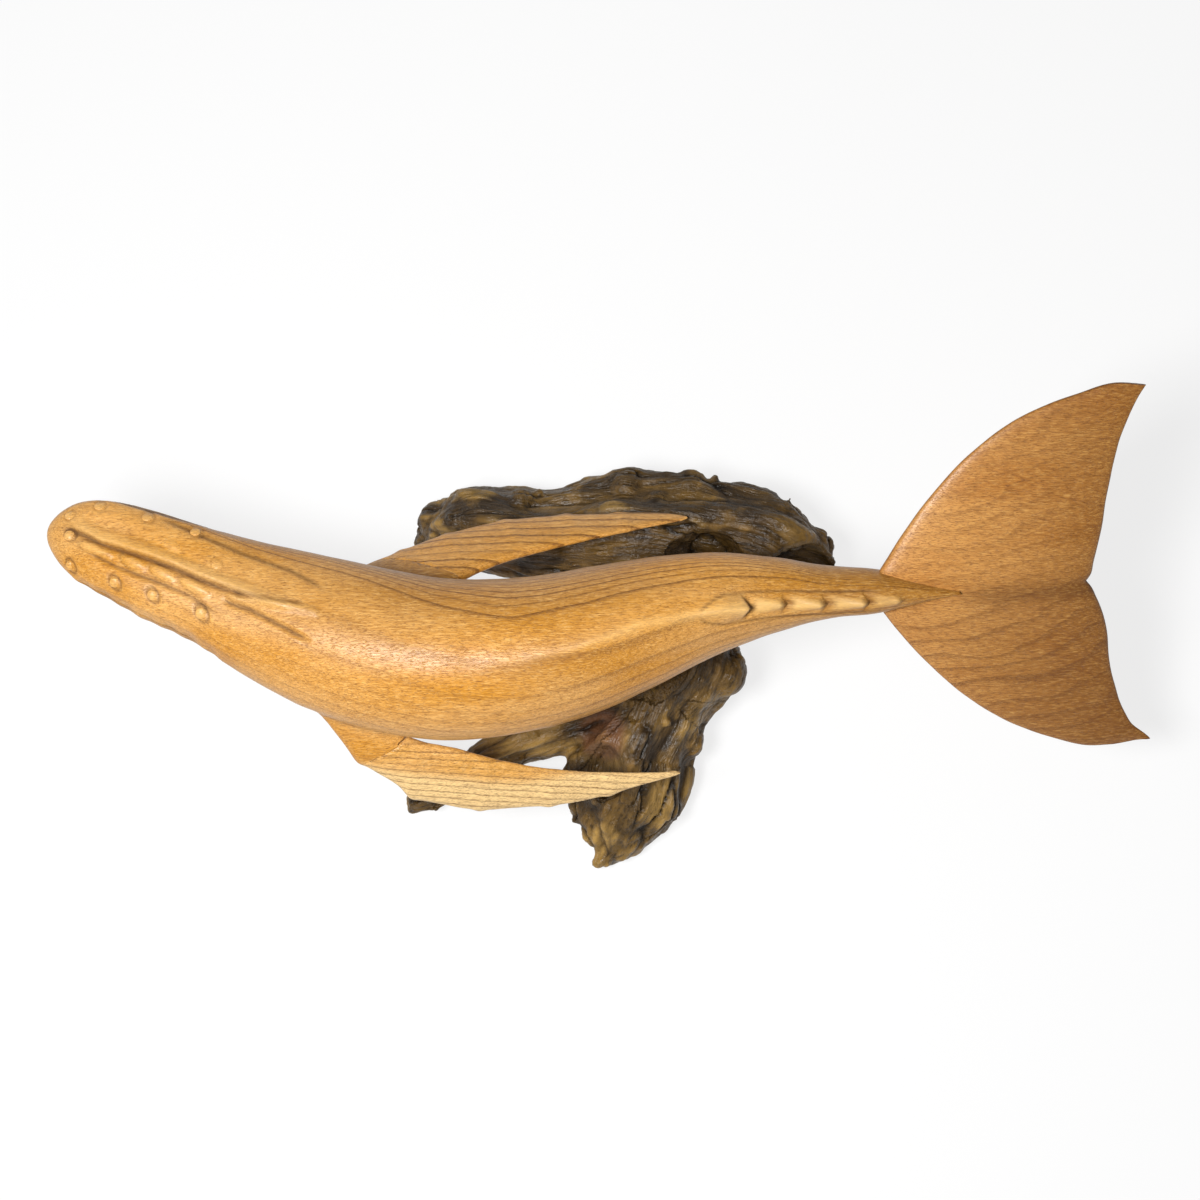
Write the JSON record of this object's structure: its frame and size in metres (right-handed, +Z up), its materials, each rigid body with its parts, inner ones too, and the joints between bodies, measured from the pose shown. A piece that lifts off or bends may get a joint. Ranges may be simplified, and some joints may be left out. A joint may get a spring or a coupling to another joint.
{
  "type": "whale figurine",
  "caption": "Carved hardwood humpback whale with glued-on flippers and a V-spliced tail fluke, swimming above a gnarled dark root base; a decorative figurine.",
  "frame": {"origin": "on the flat underside of the root base, under the middle of the whale's body", "axes": "-X towards the whale's nose, +X towards the tail, -Y to the whale's left, +Z up"},
  "size_m": [0.5022, 0.1942, 0.1664],
  "materials": {
    "golden_hardwood": "satin oiled, golden brown with dark growth lines",
    "sapwood_hardwood": "satin oiled, pale sapwood along the leading edge",
    "orange_hardwood": "satin oiled, orange brown with fine pores",
    "dark_root": "rough root, clear varnished",
    "dowel_wood": "plain turned dowel"
  },
  "bodies": {
    "root": {"whale_body": "golden_hardwood", "left_flipper": "sapwood_hardwood", "right_flipper": "golden_hardwood", "tail_fluke": "orange_hardwood", "root_base": "dark_root", "left_flipper_dowel": "dowel_wood", "right_flipper_dowel": "dowel_wood", "front_mounting_dowel": "dowel_wood", "rear_mounting_dowel": "dowel_wood"}
  },
  "joints": []
}
